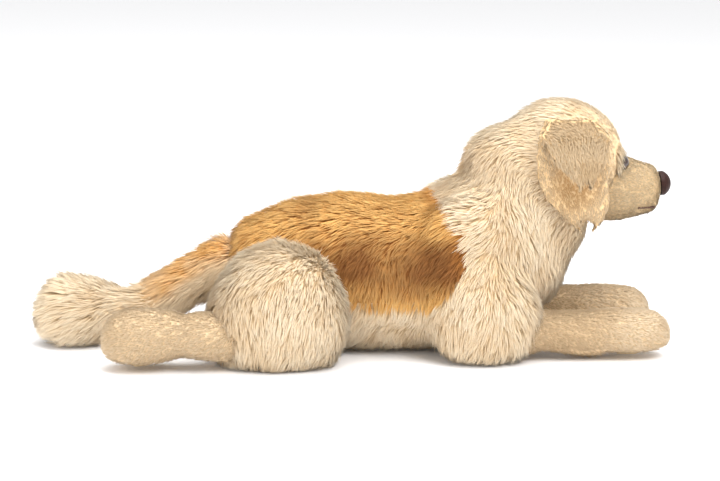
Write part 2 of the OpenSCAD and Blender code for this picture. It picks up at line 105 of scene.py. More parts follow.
def makeStudio():
    scene = bpy.context.scene
    camera = bpy.data.objects.new("camera", bpy.data.cameras.new("camera"))
    scene.collection.objects.link(camera)
    camera.data.lens = studio["lens"]
    camera.data.clip_end = 50
    back = backFrom(studio["azimuth"], studio["elevation"])
    camera.location = Vector(studio["aim"]) + back * studio["distance"]
    look = (-back).to_track_quat("-Z", "Y").to_matrix()
    camera.rotation_euler = (look @ Matrix.Rotation(math.radians(studio["roll"]), 3, "Z")).to_euler()
    scene.camera = camera
    scene.view_settings.view_transform = "Standard"
    world = bpy.data.worlds.new("studioWorld")
    world.use_nodes = True
    world.node_tree.nodes["Background"].inputs["Color"].default_value = (1, 1, 1, 1)
    world.node_tree.nodes["Background"].inputs["Strength"].default_value = studio["worldStrength"]
    scene.world = world
    for name, (place, width, power) in studio["lights"].items():
        light = bpy.data.objects.new(name, bpy.data.lights.new(name, "AREA"))
        light.data.energy, light.data.size = power, width
        light.location = place
        scene.collection.objects.link(light)
        pointAt(light, studio["lightsAim"])


makeStudio()


def tint(red, green, blue):
    # display values 0 to 255 to the light values that a shader takes
    def one(value):
        value /= 255
        return value / 12.92 if value <= 0.04045 else ((value + 0.055) / 1.055) ** 2.4
    return (one(red), one(green), one(blue), 1.0)


class Wire:
    # a socket that adds Math nodes when it is used in a sum
    def __init__(self, finish, socket):
        self.finish, self.socket = finish, socket

    def sum(self, operation, first, second=0.0):
        return self.finish.node("ShaderNodeMath", {"operation": operation}, {0: first, 1: second})

    def __add__(self, other):
        return self.sum("ADD", self, other)

    def __radd__(self, other):
        return self.sum("ADD", other, self)

    def __sub__(self, other):
        return self.sum("SUBTRACT", self, other)

    def __rsub__(self, other):
        return self.sum("SUBTRACT", other, self)

    def __mul__(self, other):
        return self.sum("MULTIPLY", self, other)

    def __rmul__(self, other):
        return self.sum("MULTIPLY", other, self)

    def __truediv__(self, other):
        return self.sum("DIVIDE", self, other)


class Finish:
    # one material being made
    def __init__(self, name, roughness=0.8, **fixed):
        self.material = bpy.data.materials.new(name)
        self.material.use_nodes = True
        self.tree = self.material.node_tree
        self.shader = self.tree.nodes["Principled BSDF"]
        self.shader.inputs["Roughness"].default_value = roughness
        for socket, value in fixed.items():
            self.shader.inputs[socket.replace("_", " ")].default_value = value

    def node(self, kind, settings=None, inputs=None, output=0):
        made = self.tree.nodes.new(kind)
        for setting, value in (settings or {}).items():
            if setting == "stops":
                ramp = made.color_ramp
                while len(ramp.elements) < len(value):
                    ramp.elements.new(0.5)
                for element, (place, colour) in zip(ramp.elements, value):
                    element.position, element.color = place, colour
            else:
                setattr(made, setting, value)
        for socket, value in (inputs or {}).items():
            if isinstance(value, Wire):
                self.tree.links.new(value.socket, made.inputs[socket])
            else:
                made.inputs[socket].default_value = value
        return Wire(self, made.outputs[output])

    def put(self, socket, wire):
        self.tree.links.new(wire.socket, self.shader.inputs[socket])

    def place(self):
        return self.node("ShaderNodeTexCoord", output="Object")

    def attribute(self, name):
        return self.node("ShaderNodeAttribute", {"attribute_name": name}, output="Fac")

    def grain(self, scale, detail=3.0, rough=0.55, at=None):
        return self.node("ShaderNodeTexNoise", {"noise_dimensions": "3D"},
                         {"Vector": at or self.place(), "Scale": scale, "Detail": detail, "Roughness": rough})

    def ramp(self, factor, stops):
        return self.node("ShaderNodeValToRGB", {"stops": stops}, {"Fac": factor}, "Color")

    def mix(self, factor, first, second, blend="MIX"):
        # a colour mix: its sockets share names, so they are reached by place
        return self.node("ShaderNodeMix", {"data_type": "RGBA", "blend_type": blend},
                         {0: factor, 6: first, 7: second}, 2)

    def bump(self, height, strength, distance):
        wire = self.node("ShaderNodeBump", {},
                         {"Height": height, "Strength": strength, "Distance": distance}, "Normal")
        self.put("Normal", wire)


pile = {
    "bodyAt": 0.45,         # where along a strand its body colour is full
    "driftScale": 28.0,     # how broad the coat's drift in tone is
    "driftShare": 0.4,
    "patchMixShare": 0.92,
}


def furFinish(name, root, body, tip, patch, edge=None, roughness=0.66, sheen=0.04):
    # strands darken at the root, partly as their own darker underfur and partly as painted shade deep in the
    # pile, lighten at the tip, and drift in tone over the coat
    finish = Finish(name, roughness, Sheen_Weight=sheen, Sheen_Roughness=0.4,
                    Sheen_Tint=(1.0, 0.94, 0.84, 1.0), Specular_IOR_Level=0.15)
    along = finish.attribute("along")
    tone = finish.attribute("tone")
    colour = finish.ramp(along, [(0.0, root), (pile["bodyAt"], body), (1.0, tip)])
    drift = finish.ramp(finish.grain(pile["driftScale"], 3.0), [(0.40, (0, 0, 0, 1)), (0.66, (1, 1, 1, 1))])
    colour = finish.mix(drift, colour, finish.mix(pile["driftShare"], colour, patch))
    # the patch mix paints shade on the saddle's flanks and under the elbow on each forearm; it also darkens the
    # feet and makes the tail root cream below
    colour = finish.mix(finish.attribute("matted"), colour, finish.mix(pile["patchMixShare"], colour, patch))
    if edge is not None:
        colour = finish.mix(finish.attribute("rim"), colour, edge)
    shade = finish.node("ShaderNodeCombineColor", {}, {0: tone, 1: tone, 2: tone})
    finish.put("Base Color", finish.mix(1.0, colour, shade, "MULTIPLY"))
    return finish.material


def underFinish(name, dark, light, scale=240.0):
    # the knitted backing that shows between the strands
    finish = Finish(name, 0.9, Specular_IOR_Level=0.2)
    fibre = finish.grain(scale, 4.0, 0.7)
    finish.put("Base Color", finish.ramp(fibre, [(0.30, dark), (0.70, light)]))
    finish.bump(fibre, 0.6, 1.2 * mm)
    return finish.material


# each coat's root colour is partly its darker underfur and partly painted shade deep in the pile
coats = {
    "cream": dict(root=tint(214, 180, 136), body=tint(237, 210, 171), tip=tint(249, 234, 208),
                  patch=tint(220, 184, 136)),
    "gold": dict(root=tint(182, 114, 52), body=tint(238, 176, 98), tip=tint(252, 208, 134),
                 patch=tint(132, 82, 42), edge=tint(200, 126, 48)),
    "short": dict(root=tint(194, 164, 128), body=tint(217, 192, 157), tip=tint(237, 217, 188),
                  patch=tint(186, 156, 118)),
    "face": dict(root=tint(180, 150, 112), body=tint(204, 179, 142), tip=tint(220, 198, 164),
                 patch=tint(190, 162, 122)),
    "ear": dict(root=tint(164, 132, 94), body=tint(192, 164, 128), tip=tint(214, 191, 158),
                patch=tint(184, 150, 106), edge=tint(196, 146, 84)),
    "tail": dict(root=tint(164, 98, 38), body=tint(218, 154, 82), tip=tint(238, 190, 122),
                 patch=tint(246, 224, 190)),
}
coatFinish = {name: furFinish(name + "Coat", **values) for name, values in coats.items()}
underTints = {
    "cream": (tint(216, 184, 140), tint(234, 206, 166)),
    "gold": (tint(132, 80, 38), tint(180, 120, 64)),
    "short": (tint(214, 184, 142), tint(232, 206, 168)),
    "face": (tint(200, 168, 124), tint(222, 194, 152)),
    "ear": (tint(208, 172, 124), tint(230, 200, 156)),
    "tail": (tint(158, 100, 48), tint(204, 144, 80)),
}
underCloth = {name: underFinish(name + "Backing", *pair) for name, pair in underTints.items()}


def plainFinish(name, dark, light, scale, roughness, strength, depth, **fixed):
    finish = Finish(name, roughness, **fixed)
    grain = finish.grain(scale, 4.0)
    finish.put("Base Color", finish.ramp(grain, [(0.3, dark), (0.7, light)]))
    finish.bump(grain, strength, depth)
    return finish.material


noseFinish = plainFinish("noseMoulding", tint(30, 13, 9), tint(58, 30, 22), 900.0, 0.5, 0.1, 0.3 * mm,
                         Specular_IOR_Level=0.2)
threadFinish = plainFinish("mouthThread", tint(58, 34, 26), tint(96, 62, 46), 1800.0, 0.7, 0.8, 0.2 * mm)
washerFinish = plainFinish("washerPlastic", tint(205, 205, 200), tint(228, 228, 224),
                           300.0, 0.5, 0.1, 0.1 * mm)
soleFinish = plainFinish("soleSuede", tint(206, 178, 136), tint(232, 210, 174), 420.0, 0.92, 0.5, 0.6 * mm)
pouchFinish = plainFinish("pouchCloth", tint(214, 208, 196), tint(238, 234, 226), 700.0, 0.85, 0.5, 0.4 * mm)
pelletFinish = plainFinish("pelletPlastic", tint(225, 226, 228), tint(246, 246, 248),
                           260.0, 0.4, 0.9, 1.0 * mm)


eyeball = {"front": 6.0 * mm, "radius": 7.0 * mm, "fibre": 0.12}


def eyeFinish(name, centre, outward):
    # a dark pupil in a brown iris, by distance from the eye's axis
    finish = Finish(name, 0.12, Coat_Weight=1.0, Coat_Roughness=0.03)
    front = [c + eyeball["front"] * o for c, o in zip(centre, outward)]
    away = finish.node("ShaderNodeVectorMath", {"operation": "DISTANCE"},
                       {0: finish.place(), 1: front}, "Value")
    fibres = finish.grain(1400.0, 2.0)
    ring = away / eyeball["radius"] + (fibres - 0.5) * eyeball["fibre"]
    finish.put("Base Color", finish.ramp(ring, [(0.46, tint(8, 5, 4)), (0.54, tint(56, 32, 18)),
                                                (0.86, tint(34, 19, 12)), (0.95, tint(12, 8, 6))]))
    return finish.material


print("materials made")


def objectFrom(name, mesh):
    obj = bpy.data.objects.new(name, mesh)
    bpy.context.scene.collection.objects.link(obj)
    return obj


def applyModifiers(obj):
    bpy.context.view_layer.update()
    graph = bpy.context.evaluated_depsgraph_get()
    mesh = bpy.data.meshes.new_from_object(obj.evaluated_get(graph), depsgraph=graph)
    obj.modifiers.clear()
    old = obj.data
    obj.data = mesh
    bpy.data.meshes.remove(old)


def largestShell(obj):
    # keep the outside skin and drop any shell left inside it
    bm = bmesh.new()
    bm.from_mesh(obj.data)
    bm.verts.ensure_lookup_table()
    seen, shells = set(), []
    for start in bm.verts:
        if start.index in seen:
            continue
        shell, stack = [], [start]
        seen.add(start.index)
        while stack:
            vert = stack.pop()
            shell.append(vert)
            for edge in vert.link_edges:
                other = edge.other_vert(vert)
                if other.index not in seen:
                    seen.add(other.index)
                    stack.append(other)
        size = sum(max(v.co[i] for v in shell) - min(v.co[i] for v in shell) for i in range(3))
        shells.append((size, shell))
    shells.sort(key=lambda s: s[0])
    for size, shell in shells[:-1]:
        bmesh.ops.delete(bm, geom=shell, context="VERTS")
    bm.to_mesh(obj.data)
    bm.free()
    return len(shells)


def settled(point, centre, share=1.0):
    # a stuffed ball that rests on the floor keeps its width down to near the floor
    t = min(max((centre.z - point.z) / max(centre.z, 1e-6), 0.0), 0.93)
    wide = ((1 - t ** 4) ** 0.25 / math.sqrt(1 - t * t) - 1) * share + 1
    x = centre.x + (point.x - centre.x) * wide
    y = centre.y + (point.y - centre.y) * wide
    return Vector((x, y, max(point.z, 1.0 * mm)))


# each form's outer surface, with how deep a point lies in it before it counts as covered
solidTrees = {}
buried = {"deepest": 70 * mm, "facing": 0.7}
lowest = 1.5 * mm           # the padded forms rest this far over the floor, on their pile


def softForm(name, members, voxel=5.0, inset=4.0, smooth=6, hull=False, inward=0.0,
             shape=None, fullness=()):
    bm = bmesh.new()
    for member in members:
        bm.from_mesh(nodes[member].data)
    for centre, half in fullness:
        # stuffing that rounds out the form where two panels meet
        ball = bmesh.ops.create_uvsphere(bm, u_segments=24, v_segments=16, radius=1.0)["verts"]
        bmesh.ops.scale(bm, verts=ball, vec=[h * mm for h in half])
        bmesh.ops.translate(bm, verts=ball, vec=[c * mm for c in centre])
        for vert in ball:
            vert.co = settled(vert.co, Vector(centre) * mm, 0.5)
    bmesh.ops.remove_doubles(bm, verts=bm.verts, dist=0.05 * mm)
    if inward:
        twin = bmesh.ops.duplicate(bm, geom=bm.verts[:] + bm.edges[:] + bm.faces[:])
        moved = [g for g in twin["geom"] if isinstance(g, bmesh.types.BMVert)]
        bmesh.ops.translate(bm, verts=moved, vec=(0, inward * mm, 0))
    if hull:
        found = bmesh.ops.convex_hull(bm, input=bm.verts)
        spare = {g for g in found["geom_interior"] + found["geom_unused"] if isinstance(g, bmesh.types.BMVert)}
        spare |= {v for v in bm.verts if not v.link_faces}
        bmesh.ops.delete(bm, geom=list(spare), context="VERTS")
        kept = {g for g in found["geom"] if isinstance(g, bmesh.types.BMFace)}
        bmesh.ops.delete(bm, geom=[f for f in bm.faces if f not in kept], context="FACES_ONLY")
    mesh = bpy.data.meshes.new(name)
    bm.to_mesh(mesh)
    bm.free()
    obj = objectFrom(name, mesh)
    remesh = obj.modifiers.new("remesh", "REMESH")
    remesh.mode = "VOXEL"
    remesh.voxel_size = voxel * mm
    applyModifiers(obj)
    shells = largestShell(obj)
    if shape:
        for vert in obj.data.vertices:
            vert.co = shape(vert.co)
    solidTrees[name] = (treeOf(obj), (inset + 2.0) * mm)
    drawIn(obj, inset, smooth)
    print(name, "shells", shells, "faces", len(obj.data.polygons),
          "litres", round(volumeOf(obj) * 1000, 3))
    return obj


def volumeOf(obj):
    bm = bmesh.new()
    bm.from_mesh(obj.data)
    volume = bm.calc_volume(signed=True)
    bm.free()
    return volume


def drawIn(obj, inset, smooth):
    bm = bmesh.new()
    bm.from_mesh(obj.data)
    for turn in range(smooth):
        bmesh.ops.smooth_vert(bm, verts=bm.verts, factor=0.5,
                              use_axis_x=True, use_axis_y=True, use_axis_z=True)
    bmesh.ops.recalc_face_normals(bm, faces=bm.faces)
    bm.normal_update()
    moves = [(v, v.normal * inset * mm) for v in bm.verts]
    for vert, move in moves:
        vert.co -= move
        vert.co.z = max(vert.co.z, lowest)
    bm.to_mesh(obj.data)
    bm.free()


def swell(obj, pressure=4.0, cap=4.0, frames=20):
    # cloth under pressure, with each point's travel capped
    before = np.empty(len(obj.data.vertices) * 3, np.float32)
    obj.data.vertices.foreach_get("co", before)
    cloth = obj.modifiers.new("cloth", "CLOTH")
    cloth.settings.use_pressure = True
    cloth.settings.uniform_pressure_force = pressure
    cloth.settings.effector_weights.gravity = 0
    cloth.settings.quality = 4
    cloth.settings.tension_stiffness = 15
    cloth.point_cache.frame_start, cloth.point_cache.frame_end = 1, frames
    scene = bpy.context.scene
    for step in range(1, frames + 1):
        scene.frame_set(step)
    applyModifiers(obj)
    scene.frame_set(1)
    after = np.empty_like(before)
    obj.data.vertices.foreach_get("co", after)
    before, after = before.reshape(-1, 3), after.reshape(-1, 3)
    move = after - before
    length = np.linalg.norm(move, axis=1, keepdims=True)
    after = before + move * np.minimum(1, cap * mm / np.maximum(length, 1e-9))
    after[:, 2] = np.maximum(after[:, 2], lowest)
    obj.data.vertices.foreach_set("co", after.astype(np.float32).ravel())
    obj.data.update()


def subdivide(obj, levels=1):
    subsurf = obj.modifiers.new("subdivide", "SUBSURF")
    subsurf.levels = subsurf.render_levels = levels
    applyModifiers(obj)
    obj.data.polygons.foreach_set("use_smooth", [True] * len(obj.data.polygons))


def shadeSmooth(obj):
    obj.data.polygons.foreach_set("use_smooth", [True] * len(obj.data.polygons))


def treeOf(obj):
    bm = bmesh.new()
    bm.from_mesh(obj.data)
    tree = BVHTree.FromBMesh(bm)
    bm.free()
    return tree


def insideOf(tree, point, depth):
    # true where the point is more than depth below the surface
    spot, normal, index, distance = tree.find_nearest(point)
    outward = (spot - point).normalized().dot(normal)
    return depth < distance < buried["deepest"] and outward > buried["facing"]


strand = {
    "shortest": 0.72, "longest": 1.12,      # spread of lengths about the wanted one
    "finest": 0.75, "coarsest": 1.2,        # spread of widths
    "rootWide": 0.8, "middleWide": 2.0,
    "bow": 0.14,            # how far the middle stands off a straight line, in lengths
    "skinShare": 0.6,       # how much of the shading follows the skin below
    "floorGap": 0.7 * mm, "floorSpread": 0.8 * mm,
}


def tuftShape():
    # one tapered three-sided strand, one unit long, with a ring at its middle
    bm = bmesh.new()
    bmesh.ops.create_cone(bm, cap_ends=True, cap_tris=False, segments=3, radius1=1, radius2=0, depth=1)
    bmesh.ops.translate(bm, verts=bm.verts, vec=(0, 0, 0.5))
    bmesh.ops.bisect_plane(bm, geom=bm.verts[:] + bm.edges[:] + bm.faces[:], plane_co=(0, 0, 0.5),
                           plane_no=(0, 0, 1), dist=1e-5)
    bmesh.ops.remove_doubles(bm, verts=bm.verts, dist=1e-4)
    bmesh.ops.recalc_face_normals(bm, faces=bm.faces)
    bm.verts.index_update()
    points = np.array([v.co[:] for v in bm.verts])
    faces = [[v.index for v in f.verts] for f in bm.faces]
    bm.free()
    return points, faces


tuftPoints, tuftFaces = tuftShape()
print("tuft", len(tuftPoints), "points", len(tuftFaces), "faces")


def unit(vectors):
    return vectors / np.maximum(np.linalg.norm(vectors, axis=-1, keepdims=True), 1e-9)


def scatter(obj, count, seed, weigh=None):
    # points over the mesh by area, with smooth normals
    mesh = obj.data
    mesh.calc_loop_triangles()
    tris = np.empty(len(mesh.loop_triangles) * 3, np.int32)
    mesh.loop_triangles.foreach_get("vertices", tris)
    tris = tris.reshape(-1, 3)
    places = np.empty(len(mesh.vertices) * 3, np.float32)
    mesh.vertices.foreach_get("co", places)
    places = places.reshape(-1, 3).astype(float)
    normals = np.empty(len(mesh.vertices) * 3, np.float32)
    mesh.vertices.foreach_get("normal", normals)
    normals = normals.reshape(-1, 3).astype(float)
    a, b, c = places[tris[:, 0]], places[tris[:, 1]], places[tris[:, 2]]
    area = np.linalg.norm(np.cross(b - a, c - a), axis=1) / 2
    if weigh is not None:
        area = area * weigh((a + b + c) / 3, unit(np.cross(b - a, c - a)))
    rng = np.random.default_rng(seed)
    pick = rng.choice(len(tris), size=count, p=area / area.sum())
    u, v = rng.random(count), rng.random(count)
    over = u + v > 1
    u[over], v[over] = 1 - u[over], 1 - v[over]
    u, v = u[:, None], v[:, None]
    picked = tris[pick]
    root = places[picked[:, 0]] * (1 - u - v) + places[picked[:, 1]] * u + places[picked[:, 2]] * v
    normal = normals[picked[:, 0]] * (1 - u - v) + normals[picked[:, 1]] * u + normals[picked[:, 2]] * v
    return root, unit(normal), rng


def swirl(points, scale, seed):
    # smooth random vectors over space
    shift = Vector((seed * 1.7, seed * 0.9, seed * 2.3))
    return np.array([noise.noise_vector(Vector(p) * scale + shift)[:] for p in points])


def growFur(name, roots, normals, flow, rng, length, width=1.2, lift=0.45, clump=7.0, pull=0.5,
            wander=0.35, tuck=1.5, rim=None, matted=None, flat=0.5, seed=1, toneLow=0.88):
    # lengths in mm; flow is the combing direction at each root
    count = len(roots)
    flow = unit(flow)
    flow = flow + swirl(roots, 45.0, seed) * wander + swirl(roots, 130.0, seed + 5) * wander * 0.6
    flow = flow + rng.normal(0, 0.07, (count, 3))
    along = unit(flow - normals * np.sum(flow * normals, axis=1, keepdims=True))
    reach = np.broadcast_to(length, (count,)) * mm * rng.uniform(strand["shortest"], strand["longest"], count)
    rise = np.clip(lift + rng.normal(0, 0.09, count), 0.08, 1.0)[:, None]
    lean = np.sqrt(1 - np.clip(rise, 0, 1) ** 2)
    root = roots - normals * tuck * mm
    tip = root + (along * lean + normals * rise) * reach[:, None]
    # strands gather towards the strand at the middle of their clump
    centres = rng.choice(count, max(8, int(count / max(clump, 1.0))), replace=False)
    tree = KDTree(len(centres))
    for place, index in enumerate(centres):
        tree.insert(roots[index], place)
    tree.balance()
    nearest = np.array([centres[tree.find(r)[1]] for r in roots])
    strength = pull * rng.uniform(0.5, 1.0, count)[:, None]
    tip = tip + (tip[nearest] - tip) * strength
    bend = root + (tip - root) * 0.5 + normals * (reach * strand["bow"])[:, None]
    middle = root * 0.25 + bend * 0.5 + tip * 0.25
    heading = unit(middle - root)
    side = unit(np.cross(heading, normals))
    across = np.cross(heading, side)
    breadth = (np.broadcast_to(width, (count,)) * mm
               * rng.uniform(strand["finest"], strand["coarsest"], count) / 2)
    # the template's rings go to the root, the middle and the tip
    heights = tuftPoints[:, 2]
    spine = np.where(heights[None, :, None] < 0.25, root[:, None, :],
                     np.where(heights[None, :, None] < 0.75, middle[:, None, :], tip[:, None, :]))
    ring = np.where(heights < 0.25, strand["rootWide"], np.where(heights < 0.75, strand["middleWide"], 0.0))
    points = (spine
              + side[:, None, :] * (tuftPoints[:, 0] * ring)[None, :, None] * breadth[:, None, None]
              + across[:, None, :] * (tuftPoints[:, 1] * ring * flat)[None, :, None] * breadth[:, None, None])
    floorLine = strand["floorGap"] + rng.random((count, 1)) * strand["floorSpread"]
    points[:, :, 2] = np.maximum(points[:, :, 2], floorLine)
    # the strands shade much as the skin under them does, which reads as soft pile
    facing = unit(normals + along * 0.15 + rng.normal(0, 0.16, (count, 3)))
    return strandMesh(name, points.reshape(-1, 3), facing, count, rng, rim, matted, toneLow)


def strandMesh(name, points, facing, count, rng, rim, matted, toneLow):
    size = len(tuftPoints)
    sizes = np.array([len(f) for f in tuftFaces], np.int32)
    corners = np.concatenate([np.array(f, np.int32) for f in tuftFaces])
    loops = (corners[None, :] + (np.arange(count, dtype=np.int32) * size)[:, None]).ravel()
    totals = np.tile(sizes, count)
    starts = np.concatenate([[0], np.cumsum(totals)[:-1]]).astype(np.int32)
    mesh = bpy.data.meshes.new(name)
    mesh.vertices.add(count * size)
    mesh.vertices.foreach_set("co", points.astype(np.float32).ravel())
    mesh.loops.add(len(loops))
    mesh.loops.foreach_set("vertex_index", loops)
    mesh.polygons.add(len(totals))
    mesh.polygons.foreach_set("loop_start", starts)
    mesh.polygons.foreach_set("loop_total", totals)
    mesh.polygons.foreach_set("use_smooth", np.ones(len(totals), bool))
    mesh.update()
    along = mesh.attributes.new("along", "FLOAT", "POINT")
    along.data.foreach_set("value", np.tile(tuftPoints[:, 2], count).astype(np.float32))
    tone = mesh.attributes.new("tone", "FLOAT", "POINT")
    tone.data.foreach_set("value", np.repeat(rng.uniform(toneLow, 1.0, count), size).astype(np.float32))
    for label, values in (("rim", rim), ("matted", matted)):
        if values is not None:
            edge = mesh.attributes.new(label, "FLOAT", "POINT")
            edge.data.foreach_set("value", np.repeat(values, size).astype(np.float32))
    # each strand has its own cell of the bake map, root to tip up the cell
    cells = int(math.ceil(math.sqrt(count)))
    cell = 1.0 / cells
    angle = np.arctan2(tuftPoints[:, 1], tuftPoints[:, 0])
    uvs = []
    for face in tuftFaces:
        base = angle[[i for i in face if tuftPoints[i, 2] < 0.9]]
        middle = math.atan2(np.sin(base).mean(), np.cos(base).mean())
        for index in face:
            turn = angle[index] - middle
            turn = (turn + math.pi) % (2 * math.pi) - math.pi
            tipPoint = tuftPoints[index, 2] > 0.9
            third = round((middle + math.pi) / (2 * math.pi) * 3) % 3
            across = 0.5 if tipPoint else 0.5 + 0.5 * np.sign(turn)
            uvs.append(((third + 0.1 + 0.8 * across) / 3, 0.08 + 0.84 * tuftPoints[index, 2]))
    uvs = np.array(uvs)
    column, row = np.arange(count) % cells, np.arange(count) // cells
    u = (column[:, None] + uvs[None, :, 0]) * cell
    v = (row[:, None] + uvs[None, :, 1]) * cell
    layer = mesh.uv_layers.new(name="OFBake")
    layer.data.foreach_set("uv", np.stack([u, v], axis=2).astype(np.float32).ravel())
    # shading follows the skin more than the strand, so the coat reads as one soft surface
    own = np.empty(count * size * 3, np.float32)
    mesh.vertices.foreach_get("normal", own)
    skinShare = strand["skinShare"]
    shading = unit(np.repeat(facing, size, axis=0) * skinShare + own.reshape(-1, 3) * (1 - skinShare))
    mesh.normals_split_custom_set_from_vertices(shading.tolist())
    return objectFrom(name, mesh)


def dress(obj, material):
    obj.data.materials.clear()
    obj.data.materials.append(material)


def keep(mask, *arrays):
    return [a[mask] for a in arrays]


amount = 1.0


def counted(n):
    return int(n * amount)


nod = jointAt["head_nod"]
ear = {
    "form": dict(voxel=2.5, inset=0.6, smooth=3),
    "flapPile": dict(count=5500, length=9.0, width=0.95, lift=0.3, clump=8.0, pull=0.3, wander=0.25, tuck=0.8),
    "lobePile": dict(count=6000, length=6.0, width=0.95, lift=0.32, clump=6.0, pull=0.2, wander=0.25, tuck=0.8),
    "gather": 14,           # how strongly the flap's pile runs to its point
    "tinted": 0.75,         # golden tint in the lobe's hollow
    "tipX": 8 * mm,        # the flap's point, ahead of the skull's centre
    "taperFrom": 18 * mm,   # height over the skull's centre where the flap starts to narrow
    "taperTo": -24 * mm,
    "narrow": 0.86,
    "flare": 8.0 * mm,      # how far the flap's point stands off the lobe
    "cup": 6.5 * mm,        # depth of the lobe's hollow
    "cupHalf": (28 * mm, 30 * mm),
    "cupUnder": 12 * mm,
    "dip": 9 * mm,          # how far the lobe's end hangs below its CAD piece
    "turnOut": 3 * mm,      # how far the end stands off the neck
    "roundFrom": 14 * mm,
    "roundOver": 38 * mm,
    "roundX": 13 * mm,
    "sink": 5.0 * mm,       # how far the flap's top sinks into the head
    "sinkFrom": 28 * mm,
    "sinkOver": 20 * mm,
}


forearm = {
    "form": dict(voxel=4.0, inset=1.6, smooth=4),
    "pile": dict(count=10500, length=6.0, width=0.9, lift=0.48, clump=6.0, pull=0.2, wander=0.3, tuck=0.6),
    "flow": (0.9, 0, -0.35),
    "worn": 0.8,            # how dark its pile is by the elbow: partly matted pile, partly painted shade under the elbow
    "darkeningFrom": 190 * mm,
    "darkeningTo": 275 * mm,
}
limbBend = (0.012, 0.028)   # how far behind and ahead of its joint a limb's listed span reaches, in metres
foot = {
    "form": dict(voxel=4.0, inset=1.6, smooth=4),
    "pile": dict(count=9200, length=6.0, width=0.9, lift=0.48, clump=6.0, pull=0.2, wander=0.3, tuck=0.6),
    "worn": 0.45,
    "archFrom": 42 * mm,    # from the ankle towards the toe
    "archTo": 6 * mm,
    "archRise": 9 * mm,
    "archSpread": 14 * mm,
    "archHigh": 45 * mm,
    # the calf's filling, in mm: from the ankle towards the toe, its height and half sizes
    "calfOut": 15,
    "calfHigh": 29,
    "calfHalf": (36, 27, 27),
}


haunch = {
    "form": dict(voxel=4.5, inset=3.0, smooth=5, hull=True),
    "pile": dict(count=13800, length=17.0, width=0.95, lift=0.42, clump=20.0, pull=0.34, wander=0.35),
    "across": 83 * mm,      # its middle, from the dog's middle
    "height": 58 * mm,
    "settled": 0.3,
    # from this height up it narrows and drops towards its top
    "from": 40 * mm,
    "over": 75 * mm,
    "pivot": 20 * mm,
    "narrow": {"left": 0.3, "right": 0.2},
    "drop": {"left": 14 * mm, "right": 9 * mm},
    "inward": {"left": -12.0, "right": 12.0},
}


tail = {
    "rootForm": dict(voxel=4.0, inset=2.5, smooth=3, hull=True),
    "tipForm": dict(voxel=4.0, inset=3.0, smooth=4),
    "rootPile": dict(count=7000, length=23.0, width=1.0, lift=0.42, clump=20.0, pull=0.4, wander=0.3),
    "tipPile": dict(count=9800, length=23.0, width=1.0, lift=0.5, clump=18.0, pull=0.4, wander=0.45),
    "tipFlow": (-0.9, 0, -0.35),
    "tipSpread": 0.3,
    "creamTo": -4 * mm,     # its root is cream up to here, measured from its axis
    "goldFrom": 11 * mm,
}
face = {
    "form": dict(voxel=3.0, inset=0.6, smooth=3),
    "pile": dict(count=10500, length=4.2, width=0.85, lift=0.42, clump=4.0, pull=0.15, wander=0.2, tuck=0.6,
                 toneLow=0.76),
    "flow": (-1.0, 0, 0.15),
}


def haunchShape(side):
    low, high = (Vector(c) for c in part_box("haunch_skin_" + side))
    across = math.copysign(haunch["across"], low.y + high.y)
    centre = Vector(((low.x + high.x) / 2, across, haunch["height"]))
    narrow, drop = haunch["narrow"][side], haunch["drop"][side]

    def shape(point):
        point = settled(point, centre, haunch["settled"])
        rise = min(max((point.z - haunch["from"]) / haunch["over"], 0.0), 1.0)
        middle = centre.x + haunch["pivot"]
        x = middle + (point.x - middle) * (1 - narrow * rise)
        return Vector((x, point.y, point.z - drop * rise))
    return shape


def footShape(side):
    # the underside lifts off the floor between heel and toe
    ankle = jointAt["hind_foot_" + side + "_swing"]
    way = 1 if side == "left" else -1
    middle = (foot["archFrom"] + foot["archTo"]) / 2
    half = (foot["archFrom"] - foot["archTo"]) / 2 + foot["archSpread"]

    def shape(point):
        t = ((point.x - ankle.x) * way - middle) / half
        lift = foot["archRise"] * max(0.0, 1 - t * t) * max(0.0, 1 - point.z / foot["archHigh"])
        return Vector((point.x, point.y, point.z + lift))
    return shape


def flapShape(sign):
    def shape(point):
        t = (nod.z + ear["taperFrom"] - point.z) / (ear["taperFrom"] - ear["taperTo"])
        t = min(max(t, 0.0), 1.0)
        middle = nod.x + ear["tipX"]
        x = middle + (point.x - middle) * (1 - ear["narrow"] * t ** 1.3)
        top = min(max((point.z - nod.z - ear["sinkFrom"]) / ear["sinkOver"], 0.0), 1.0)
        y = point.y + sign * (ear["flare"] * t - ear["sink"] * top)
        return Vector((x, y, point.z - ear["sink"] * top))
    return shape


def hollowOf(points):
    # one at the middle of the lobe's hollow, nothing at its rim
    x = (points[:, 0] - nod.x) / ear["cupHalf"][0]
    z = (points[:, 2] - nod.z + ear["cupUnder"]) / ear["cupHalf"][1]
    return np.clip(1 - x * x - z * z, 0, 1)


def lobeShape(sign):
    def shape(point):
        outer = min(max((abs(point.y) - 58 * mm) / (6 * mm), 0.0), 1.0)
        depth = ear["cup"] * hollowOf(np.array([point[:]]))[0] * outer
        # below the hollow's middle the outline closes to a round end
        t = min(max((nod.z - ear["roundFrom"] - point.z) / ear["roundOver"], 0.0), 0.98)
        middle = nod.x + ear["roundX"] * t
        x = middle + (point.x - nod.x) * math.sqrt(1 - t * t)
        y = point.y + sign * (ear["turnOut"] * t * t - depth)
        return Vector((x, y, point.z - ear["dip"] * t * t))
    return shape


torso = {
    "form": dict(voxel=4.5, inset=3.0, smooth=12),
    "swell": dict(pressure=3.0, cap=3.0),
    "neckLow": (0.118, 0, 0.128),       # the neck's span runs between these two
    "neckMid": (0.150, 0, 0.158),
    "neckBehind": (0.022, 0, 0.020),    # and from there to this far behind the nod's joint
    "headOver": 0.09,                   # no head panel under this height
}
trunkNodes = ["saddle_skin", "chest_skin", "belly_panel", "torso_stuffing",
              "neck_skin", "neck_stuffing", "head_skin", "head_stuffing"]
for side in sides:
    trunkNodes += ["elbow_skin_" + side, "elbow_stuffing_" + side]
